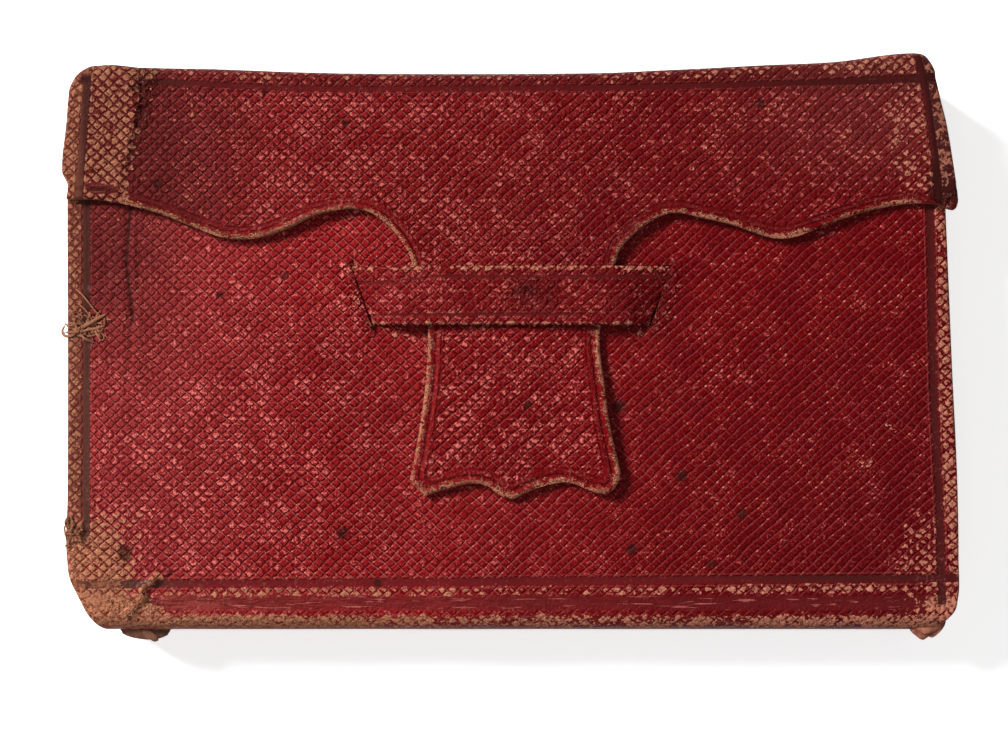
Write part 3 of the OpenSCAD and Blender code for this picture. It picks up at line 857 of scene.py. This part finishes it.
cover_columns = np.concatenate([
    rings(-HALF, outward=-1)[::-1],
    spaced(-HALF, (-58.6, 0.45), (-56.2, 0.24), (-53, 0.45), (-48, 0.27), (-23, 0.75),
           (-SLIT_X - SLIT_GAP / 2, 0.4), (-SLIT_X + SLIT_GAP / 2, 0.5), (-17, 0.4),
           (17, 0.75), (SLIT_X - SLIT_GAP / 2, 0.4), (SLIT_X + SLIT_GAP / 2, 0.5),
           (23, 0.4), (55.2, 0.75), (HALF, 0.3)),
    rings(HALF)])
cover_rows = np.concatenate([
    rings(END_T, outward=-1)[::-1],
    spaced(END_T, (BACK_T, 2.2), (LOW_BEND_T, 0.6), (WALL_T, 0.8), (BEND_Y, 0.5), (-32.4, 0.35),
           (-30.2, 0.24), (2.7, 0.72), (11.9, 0.46), (20.5, 0.72), (START_T, 1.6)),
    rings(START_T)])
cover = sheet("cover_skin", cover_columns, cover_rows, cover_shape)
columns = len(cover_columns) - 1
slots = []
for side in (-1, 1):
    column = int(np.argmin(np.abs(cover_columns - side * SLIT_X + SLIT_GAP / 2)))
    rows = np.nonzero((cover_rows > SLIT_MID_Y - SLIT_HALF - 0.1)
                      & (cover_rows < SLIT_MID_Y + SLIT_HALF - 0.2))[0]
    slots.extend(int(row) * columns + column for row in rows)
cut_away(cover, slots)
merge(cover)
skin_over(cover)
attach(cover, "book")
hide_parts("cover_leather")

# The front board, cut away for the ends of the strap
BOARD_IN = 0.55
HOLE_X = (19.3, 27.6)
HOLE_Y = (3.0, 11.9)


def board_shape(u, v):
    """The front board, inside the leather's outline; u is x before its ends are fitted."""
    low_x = through(LEFT_EDGE, v + 0.5) + BOARD_IN
    high_x = through(RIGHT_EDGE, v + 0.5) - BOARD_IN
    x = fit(u, HALF, low_x, high_x, COVER_EASE)
    top = np.full_like(x, reach("front_board", 1, 2))
    low = np.full_like(x, reach("front_board", 0, 2))
    return (x, v, top), (x, v, low), (x, v), {}


board_columns = spaced(-HALF, (HALF, 1.0))
board_rows = spaced(reach("front_board", 0, 1), (33, 1.0),
                    (reach("front_board", 1, 1) - 0.4, 0.4))
board = sheet("board_front", board_columns, board_rows, board_shape)
middle_x = (board_columns[1:] + board_columns[:-1]) / 2
middle_y = (board_rows[1:] + board_rows[:-1]) / 2
holes = [row * len(middle_x) + column for row, y in enumerate(middle_y)
         for column, x in enumerate(middle_x)
         if HOLE_X[0] < abs(x) < HOLE_X[1] and HOLE_Y[0] < y < HOLE_Y[1]]
cut_away(board, holes)
board.data.materials.append(cardboard)
thicken(board)
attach(board, "book")
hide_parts("front_board")

# The flap: v is 0 on the wavy edge and 1 at the fold's inner end, and runs on round the fold
# and down the strip to the seam. Rules at its ends are (y, x), the others (x, y).
FOLD_R = 1.3
SEAM_Z = 6.0
FOLD_ARC = FOLD_R * math.pi / 2
TONGUE_OUTLINE = ([(NECK[0], NECK_Y)] + turned(TONGUE_LEFT[-2::-1]) + TONGUE_TIP[1:]
                  + turned(TONGUE_RIGHT[1:]))
TOP_RULE = [(-61, 36.4), (-47.4, 36.1), (-28.5, 35.2), (-5, 35.2), (17.4, 35.4), (34, 35.8),
            (55.2, 36.6), (61, 36.9)]
FLAP_LEFT_RULE = [(11, -58.3), (20, -58.2), (23, -58), (34.4, -57.2), (41, -56.8)]
FLAP_RIGHT_RULE = [(11, 58.2), (20, 57.7), (25.7, 57.1), (31, 56.4), (35.6, 55.7), (39.7, 54.7),
                   (42, 54.2)]
CRACK = [(-49.9, 41), (-49.95, 38.1), (-50.2, 37.1), (-49.7, 36.2), (-49.95, 34.8),
         (-49.4, 33.75), (-49.95, 32.4), (-49.7, 31.3), (-50.4, 30.5), (-50.2, 29.4),
         (-50.9, 28.35), (-50.6, 27), (-51.4, 25), (-51.8, 23), (-52.4, 20.9)]
CRACK_CREASES = [(-0.3, 0.22, CRACK), (0.2, 0.4, shifted(CRACK, -0.75, 0)),
                 (0.14, 0.45, shifted(CRACK, 0.8, 0.3))]
PRESSED_CREASES = [(0.12, 0.35, [(-57.2, 22.2), (-54, 22)]),
                   (-0.12, 0.3, [(-57.4, 21.4), (-54, 21.2)])]
FLAP_SPOTS = [((-47.7, 22.3), 0.9), ((-22.4, 30.5), 0.7), ((33.6, 33.3), 0.8),
              ((2.2, -7.4), 0.8), ((-33.2, 34.7), 0.6)]


def edge_gap(x, y):
    """Distance from the cut edges of the flap and the tongue."""
    waves = np.minimum(gap_to(LEFT_WAVE, x, y), gap_to(RIGHT_WAVE, x, y))
    return np.minimum(waves, gap_to(TONGUE_OUTLINE, x, y))


def flap_height(x, y):
    """Height of the top of the flap and the tongue, and the same without its finer relief."""
    edge = edge_gap(x, y)
    tongue = smooth((NECK_Y + 4 - y) / 8)
    h = 0.12 * ripple(x, y, 15, 21) + 0.05 * ripple(x, y, 5, 22)
    h += (1 - tongue) * 0.45 * hump(np.abs(x - 0.4), 22, 5) * smooth((24 - y) / 8)
    h += (1 - tongue) * 0.25 * smooth((21.5 - y) / 5)
    h += tongue * 0.55 * smooth((x - 4) / 10) * smooth((2 - y) / 12)
    h += tongue * 0.1 * smooth((-4 - x) / 9) * smooth((2 - y) / 12)
    strap = smooth(1 - (np.abs(y - SLIT_MID_Y) - 3.6) / 3)
    h *= 1 - 0.9 * strap * smooth((18 - np.abs(x)) / 3)
    bare = FLAP_TOP - 0.1 + h
    h += 0.1 * hump(edge, 0.45, 0.22) - 0.08 * hump(edge, 1.1, 0.3)
    h += 0.1 * hump(edge, 1.8, 0.25) * smooth((edge - 1.2) / 0.3)
    ends = np.minimum(x - through(FLAP_LEFT, y), through(FLAP_RIGHT, y) - x)
    ends = np.where(y > NECK_Y, ends, FAR)
    edge = np.clip(np.minimum(edge, ends) / 0.35, 0, 1)
    h -= 0.3 * (1 - np.sqrt(1 - (1 - edge) ** 2))
    h += creases(x, y, CRACK_CREASES) * smooth((y - 20) / 12)
    h += 0.2 * ripple(x, y, 1.5, 71) * smooth(patch(x, y, (-49.6, 35.5), (3.4, 6)) * 1.6)
    h += creases(x, y, PRESSED_CREASES)
    return FLAP_TOP - 0.1 + h, bare


def flap_marks(x, y, edge):
    """The ruled lines, wear and stains of the flap and the tongue, with painted shade and painted
    highlights.
    """
    left = x - through(FLAP_LEFT_RULE, y)
    right = through(FLAP_RIGHT_RULE, y) - x
    top = through(TOP_RULE, x) - y
    across = np.where(y < 41.5, np.minimum(np.abs(left), np.abs(right)), FAR)
    top = np.where(x > -49.6, top, np.minimum(top, -0.9))
    thin = 1.45 - 0.45 * smooth((x - 38) / 12)
    rule = np.where(y < NECK_Y + 1, FAR, np.minimum(across, np.abs(top) * thin))
    past_right = (0.4 + 0.16 * smooth((-right - 1) / 1.2)) * smooth(-right + 0.2)
    wear = np.maximum.reduce([
        0.2 * smooth((-15 - x) / 35) + 0.06,
        0.58 * smooth((-49.1 - x + (y - 30) * 0.09) / 2.4),
        0.78 * smooth((-50.5 - x) / 4) * smooth((y - 34.2) / 3),
        0.62 * smooth(-left / 1),
        0.46 * smooth((x - 47.5) / 5) * (1 - 0.35 * smooth((24 - y) / 4)),
        past_right * (1 - 0.45 * smooth((27 - y) / 3)),
        (0.42 + 0.1 * smooth((x - 42) / 8)) * smooth((-top - 0.2) / 1.0),
        0.6 * smooth(patch(x, y, (-49.6, 37.4), (3, 1.8)) * 2)])
    pressed = smooth(patch(x, y, (-54.9, 21.7), (2.7, 0.8)) * 3)
    wear = wear * (1 - 0.7 * pressed)
    plain = np.maximum(0.9 * smooth((-right + 0.2) / 0.6), pressed)
    # Stains, and painted shade in the open crack
    open_crack = crease(x, y, CRACK, 0.24) * smooth((y - 22) / 8)
    stain_and_shade = np.maximum.reduce([
        patch(x, y, (-57.5, 36.6), (1.3, 1.1)) * 0.8, round_spots(x, y, FLAP_SPOTS),
        open_crack * (0.3 + 0.3 * ripple(x, y, 1.2, 77))])
    # Painted shade, darker over the upper left and towards the fold; darker too past the right
    # rule and in a patch by the right end
    grime_and_shade = np.maximum.reduce([
        (0.12 + 0.4 * smooth((-30 - x) / 20)) * smooth((y - 6) / 14),
        0.36 * smooth((y - 33.5) / 2.5),
        0.8 * smooth((-right + 0.4) / 0.8) * smooth((y - 18) / 3),
        1.6 * smooth(1 - np.hypot((x - 57.8) / 2.6, (y - 22.5) / 5))])
    crush = np.maximum(0.75 * crease(x, y, CRACK, 0.7) * smooth((y - 20) / 9),
                       0.7 * smooth(patch(x, y, (-49.3, 36), (2.4, 4)) * 2))
    lit = (0.5 + 0.2 * smooth((NECK_Y - y) / 8)
           + 0.3 * patch(x, y, (40, 30), (14, 9)) * (x > 20))
    edge = edge + 9 * smooth((-52 - x) / 1.5) * smooth((y - 17) / 1)
    edge = edge + 0.7 * smooth((x - 54) / 3) * smooth((y - 17) / 1)
    edge = edge * (1 - 0.2 * smooth((NECK_Y - y) / 5))
    return {"rule": rule, "wear": wear, "stain_and_shade": stain_and_shade, "plain": plain,
            "rim": np.minimum(edge, FAR), "grime_and_shade": np.clip(grime_and_shade, 0, 0.85), "crush": crush,
            "lit": lit}


def wave_y(x):
    """The flap's lower edge, with the tongue's root between its two waves."""
    return np.where(x < 0, through(LEFT_WAVE, np.minimum(x, NECK[0])),
                    through(RIGHT_WAVE, np.maximum(x, NECK[1])))


def flap_shape(u, v):
    """The flap, the fold at the fore-edge and the upper half of the strip."""
    fold = through(FOLD_LINE, u) - FOLD_R
    low = wave_y(u)
    s = np.clip(v, 0, 1)
    flat = low + (fold - low) * s
    x = fit(u, FLAP_HALF, through(FLAP_LEFT, flat), through(FLAP_RIGHT, flat), FLAP_EASE)
    z, bare = flap_height(x, flat)
    past = np.clip(v - 1, 0, 1)
    turn = past * math.pi / 2
    fold_z = flap_height(x, fold)[0]
    y = flat + FOLD_R * np.sin(turn)
    z = np.where(past > 0, fold_z - FOLD_R * (1 - np.cos(turn)), z)
    fall = np.clip(v - 2, 0, 1)
    lean = STRIP_Y - fold - FOLD_R
    y += lean * (1 - (1 - fall) ** np.where(lean < 0, 4, 1.3))
    z = z + (SEAM_Z - (fold_z - FOLD_R)) * fall
    low_z = np.where(past > 0, z, bare)
    inner_y = np.minimum(y - FLAP_T * np.sin(turn), STRIP_Y - FLAP_T)
    inside = (x, inner_y, low_z - FLAP_T * np.cos(turn))
    down = past * FOLD_ARC + fall * (TOP - SEAM_Z)
    edge = edge_gap(x, flat)
    marks = flap_marks(x, flat + down, edge + down)
    ends = 0.1 * smooth((np.abs(x) - 40) / 12)
    worn_fold = (0.36 + ends) * hump(down, 0.9, 1.1) + 0.04 * ripple(x, y, 5, 5)
    worn = np.maximum(marks["wear"] * smooth(1 - fall * 2), worn_fold)
    marks["wear"] = np.maximum(worn, 0.15)
    return (x, y, z), inside, (x, flat + down), marks


def tongue_shape(u, v):
    """The tongue: v is 0 at its root and 1 at its tip."""
    c = (u - NECK[0]) / (NECK[1] - NECK[0])
    tip_y = through(TONGUE_TIP, -13.2 + 26.8 * c)
    y = NECK_Y + (tip_y - NECK_Y) * v
    left = through(TONGUE_LEFT, y)
    right = through(TONGUE_RIGHT, y)
    x = left + (right - left) * c
    edge = edge_gap(x, y)
    z, bare = flap_height(x, y)
    return (x, y, z), (x, y, bare - FLAP_T), (x, y), flap_marks(x, y, edge)


neck_columns = spaced(NECK[0], (-11.2, 0.16), (12, 0.5), (NECK[1], 0.16))
flap_columns = np.concatenate([
    spaced(-FLAP_HALF, (-53, 0.3), (-48, 0.17), (-24, 0.55), (-16, 0.35), (NECK[0], 0.13))[:-1],
    neck_columns,
    spaced(NECK[1], (17, 0.13), (25, 0.35), (54, 0.55), (FLAP_HALF, 0.2))[1:]])
flap_rows = spaced(0, (0.11, 0.011), (0.9, 0.028), (1, 0.012), (2, 0.16), (3, 0.12))
tongue_rows = spaced(0, (0.9, 0.018), (1, 0.006))[::-1]
flap = sheet("flap_skin", flap_columns, flap_rows, flap_shape)
tongue = sheet("tongue_skin", neck_columns, tongue_rows, tongue_shape)
choose(flap, tongue)
bpy.ops.object.join()
merge(flap)
skin_over(flap)
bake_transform(flap)
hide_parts("flap", "flap_lining", "tongue", "tongue_lining")

# The strip's lower half, from under the back cover's edge round the lower fold to the seam
LOW_R = 1.1
STRIP_T = 0.8
UNDER_Y = 36.2
UNDER_X = (-59.8, 56.8)


def strip_shape(u, v):
    """The lower half of the strip: v is 0 under the back cover's edge and 3 at the seam."""
    start = np.clip(v, 0, 1)
    past = np.clip(v - 1, 0, 1)
    rise = np.clip(v - 2, 0, 1)
    turn = past * math.pi / 2
    fold = through(FOLD_LINE, u) - FOLD_R
    y = UNDER_Y + (STRIP_Y - LOW_R - UNDER_Y) * start + LOW_R * np.sin(turn)
    z = LOW_R * (1 - np.cos(turn)) + (SEAM_Z - LOW_R) * rise
    left = UNDER_X[0] + (through(FLAP_LEFT, fold) - UNDER_X[0]) * rise
    right = UNDER_X[1] + (through(FLAP_RIGHT, fold) - UNDER_X[1]) * rise
    x = fit(u, FLAP_HALF, left, right, FLAP_EASE)
    marks = {"rule": FAR, "rim": FAR, "wear": 0.15 + 0.3 * hump(v, 1.5, 0.5), "stain_and_shade": -1,
             "plain": 0, "grime_and_shade": 0.2, "crush": 0, "lit": 0.3}
    inside = (x, y - STRIP_T * np.sin(turn), z + STRIP_T * np.cos(turn))
    return (x, y, z), inside, (x, -y - z), marks


strip = sheet("strip_skin", flap_columns, spaced(0, (1, 0.3), (2, 0.16), (3, 0.12)), strip_shape)
on_whole(strip, bpy.ops.mesh.flip_normals)
skin_over(strip)
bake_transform(strip)
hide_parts("fore_edge_strip", "fore_edge_lining")

# The strap, whose ends go down through the slits and under the cover's leather
STRAP_PATH = [(0, STRAP_TOP), (13.3, STRAP_TOP), (15, STRAP_TOP - 0.18), (17, 13.0),
              (19, 12.2), (20, 11.85), (21, 11.4), (22.5, 11.08), (25, 11)]
STRAP_LOW_Y = 3.35
STRAP_HIGH_Y = 11.3
STRAP_END = 25


def strap_shape(u, v):
    """The strap with its two ruled lines: v is 0 on its lower and 1 on its upper edge."""
    y = STRAP_LOW_Y + (STRAP_HIGH_Y - STRAP_LOW_Y) * v
    beyond = smooth((np.abs(u) - SLIT_X) / 1.0)
    lean = np.sign(u) * SLIT_SLANT * (y - SLIT_MID_Y)
    x = u + slit_slant(u, y) + lean * beyond
    z = through(STRAP_PATH, np.abs(u))
    edge = np.minimum(y - STRAP_LOW_Y, STRAP_HIGH_Y - y)
    h = 0.06 * ripple(x, y, 7, 41) + 0.05 * ripple(x, y, 1.6, 43)
    low_rule = 4.8 + 0.01 * x
    high_rule = 9.05 + 0.8 * smooth((x + 19) / 11)
    lines = np.minimum(np.abs(y - low_rule), np.abs(y - high_rule))
    h -= 0.1 * hump(lines, 0, 0.25, 4)
    h -= 0.25 * (1 - np.sqrt(1 - (1 - np.clip(edge / 0.35, 0, 1)) ** 2))
    worn_low = smooth(1 - (y - STRAP_LOW_Y) / 1.0)
    worn_high = smooth(1 - (STRAP_HIGH_Y - y) / 1.1)
    wear = 0.12 + 0.44 * worn_high + 0.42 * worn_low
    more = smooth(1 - np.abs(x + 1.7) / 3) + smooth((x + 10) / 3) * smooth((21 - x) / 2) * 0.4
    wear += 0.3 * more * smooth(1 - (STRAP_HIGH_Y - y) / 1.0)
    marks = {"rule": np.minimum(lines * 3.2, FAR), "rim": FAR, "wear": wear,
             "stain_and_shade": patch(x, y, (2.0, 8.0), (3, 2)) * 0.45, "plain": 0.2, "grime_and_shade": 0.12,
             "crush": 0.3 * smooth(patch(x, y, (3, 7.6), (5, 3)) * 2),
             "lit": 0.5 + 0.2 * smooth((x + 14) / 8) * smooth((14 - x) / 8)}
    return (x, y, z + h), (x, y, z - STRAP_T), (x, y), marks


strap = sheet("strap_skin", spaced(-STRAP_END, (STRAP_END, 0.42)),
              spaced(0, (0.08, 0.02), (0.92, 0.05), (1, 0.02)), strap_shape)
skin_over(strap)
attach(strap, "book")
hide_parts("strap")


def strand(path, width, flat=1.0):
    """A loose strand along a path, pointed at both ends; flat is its height over its width."""
    spots = np.array(path, float)
    share = np.linspace(0, 1, len(spots))

    def centre(v):
        return np.stack([through(np.stack([share, spots[:, k]], 1), v) for k in range(3)])

    def shape(u, v):
        ahead = centre(np.clip(v + 0.01, 0, 1)) - centre(np.clip(v - 0.01, 0, 1))
        ahead /= np.linalg.norm(ahead, axis=0)
        aside = np.stack([ahead[1], -ahead[0], np.zeros_like(u)])
        aside /= np.maximum(np.linalg.norm(aside, axis=0), 1e-6)
        above = np.cross(aside, ahead, axis=0)
        thick = width * np.sqrt(np.clip(1 - (2 * v - 1) ** 4, 0, 1))
        x, y, z = centre(v) + thick * (np.cos(u) * aside + flat * np.sin(u) * above)
        return (x, y, z), (x, y, z), (x, y), {}

    piece = sheet("strand", np.linspace(0, 2 * math.pi, 8), np.linspace(0, 1, 14), shape)
    piece.data.attributes.remove(piece.data.attributes["inside"])
    merge(piece)
    on_whole(piece, bpy.ops.mesh.normals_make_consistent, inside=False)
    return piece


def gather(name, pieces, stuff):
    """Joins strands into one piece on the book."""
    choose(*pieces)
    bpy.ops.object.join()
    joined = bpy.context.object
    joined.name = name
    joined.data.name = name
    joined.data.materials.append(stuff)
    bpy.ops.object.shade_smooth_by_angle(angle=math.radians(50))
    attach(joined, "book")


def tuft(middle, spread, count, seed):
    """Short curled fibres about a place on the cover's left edge."""
    draw = np.random.default_rng(seed)
    made = []
    for _ in range(count):
        x, y = np.array(middle) + draw.normal(0, 0.35, 2) * spread
        turn = draw.uniform(0, 2 * math.pi)
        path = [(x, y, TOP - 0.05)]
        for _ in range(5):
            turn += draw.uniform(-1.2, 1.2)
            x = max(x + math.cos(turn) * 0.24 * spread[0], -60.3)
            y += math.sin(turn) * 0.24 * spread[1]
            path.append((x, y, TOP + draw.uniform(0.0, 0.5)))
        made.append(strand(path, draw.uniform(0.05, 0.15), 0.4))
    return made


SKIN_Z = TOP - 0.02
fibres = [
    strand([(-59, 8.4, SKIN_Z), (-58, 7.6, TOP + 0.3), (-57, 6.4, TOP + 0.25),
            (-55.8, 4.9, TOP + 0.3), (-54.8, 4, SKIN_Z)], 0.12),
    strand([(-58.8, 6.4, SKIN_Z), (-57.6, 5.6, TOP + 0.4), (-56.6, 4.2, TOP + 0.3),
            (-55.9, 3, SKIN_Z)], 0.1),
    strand([(-60.2, 3.6, TOP - 0.5), (-60.7, 2.6, TOP - 0.4), (-60.3, 1.9, TOP - 0.1),
            (-59.2, 2, TOP + 0.2), (-58.6, 2.9, TOP + 0.3), (-59.2, 3.6, TOP + 0.2),
            (-60.1, 3.6, TOP - 0.2)], 0.2, 0.6),
    strand([(-59.2, 2.6, TOP + 0.1), (-57.6, 3.2, TOP + 0.4), (-56.2, 4, TOP + 0.5),
            (-54.6, 4.9, TOP + 0.1)], 0.24, 0.5),
    strand([(-58.6, 2.2, TOP + 0.1), (-57.2, 2.7, TOP + 0.5), (-55.9, 2.9, TOP + 0.3),
            (-54.7, 3.4, SKIN_Z)], 0.18, 0.5),
    strand([(-58.4, 2.2, TOP), (-57.4, 1.5, TOP + 0.4), (-56.1, 0.9, SKIN_Z)], 0.16, 0.5),
    strand([(-56.2, 3.8, TOP + 0.3), (-55.8, 4.8, TOP + 0.4), (-55.3, 5.5, SKIN_Z)], 0.1, 0.6)]
fibres += tuft((-57.2, 3.0), (2.4, 1.9), 34, 5)
fibres += tuft((-59.4, -24.8), (1.2, 1.8), 22, 6)
fibres += tuft((-59.9, -23.8), (0.8, 1.2), 10, 7)
gather("frayed_fibres", fibres, fray)
bits = [
    strand([(-53.4, -37.9, 8.6), (-51, -38.3, 8.8), (-49, -38.5, 8.5), (-46.4, -38.1, 8.4)],
           1.0, 0.2),
    strand([(-50.4, -37.9, 9), (-49.3, -38.7, 9), (-48.1, -39.6, 8.7)], 0.55, 0.3)]
gather("torn_bits", bits, torn)
scraps = [
    strand([(54.4, -37.2, 9.4), (55.7, -38.2, 9.4), (56.8, -39.1, 9.1)], 0.9, 0.25),
    strand([(58.9, -36.4, 9.6), (58, -37.8, 9.5), (56.8, -39, 9.2)], 0.7, 0.25),
    strand([(55, -37.6, 9.8), (56.6, -37.9, 9.9), (58.4, -37, 9.8)], 0.6, 0.3)]
gather("torn_scraps", scraps, scrap)


# The floor, the lights and the camera
def floor_paper():
    """Plain pale paper that the camera sees as nearly white."""
    p = Paint("floor_paper")
    path = p.node("LightPath")
    seen = p.larger(p.wire(path, "Is Camera Ray"), p.wire(path, "Is Glossy Ray"))
    seen = p.larger(seen, p.wire(path, "Is Transmission Ray"))
    shade = p.mix((226, 226, 226), (252, 252, 252), seen)
    glow = p.mix((0, 0, 0), (196, 196, 196), seen)
    return p.finish({"Base Color": shade, "Roughness": 0.9, "Emission Color": glow,
                     "Emission Strength": 1.0})


bpy.ops.object.select_all(action="DESELECT")
bpy.ops.mesh.primitive_plane_add(size=4)
floor = bpy.context.object
floor.name = "floor"
floor.data.materials.append(floor_paper())


def lamp(name, place, size, power):
    """A square area light that faces the book."""
    light = bpy.data.lights.new(name, "AREA")
    light.size = size
    light.energy = power
    holder = bpy.data.objects.new(name, light)
    bpy.context.scene.collection.objects.link(holder)
    holder.location = place
    away = holder.location.normalized()
    holder.rotation_euler = away.to_track_quat("Z", "Y").to_euler()


lamp("key_light", (-0.5, 0.34, 0.46), 0.2, 9.4)
lamp("fill_light", (0.2, -0.3, 0.7), 0.8, 1.8)

world = bpy.data.worlds.new("studio")
world.use_nodes = True
background = world.node_tree.nodes["Background"]
background.inputs["Color"].default_value = (1, 1, 1, 1)
background.inputs["Strength"].default_value = 0.14
bpy.context.scene.world = world
bpy.context.scene.view_settings.view_transform = "Standard"

# The camera stands above a point a little nearer the spine than the middle of the book
lens = bpy.data.cameras.new("camera")
lens.lens = 79.4
lens.sensor_width = 36
lens.clip_start = 0.01
camera = bpy.data.objects.new("camera", lens)
bpy.context.scene.collection.objects.link(camera)
camera.location = (-0.945 * MM, -3.78 * MM, 312 * MM)
bpy.context.scene.camera = camera
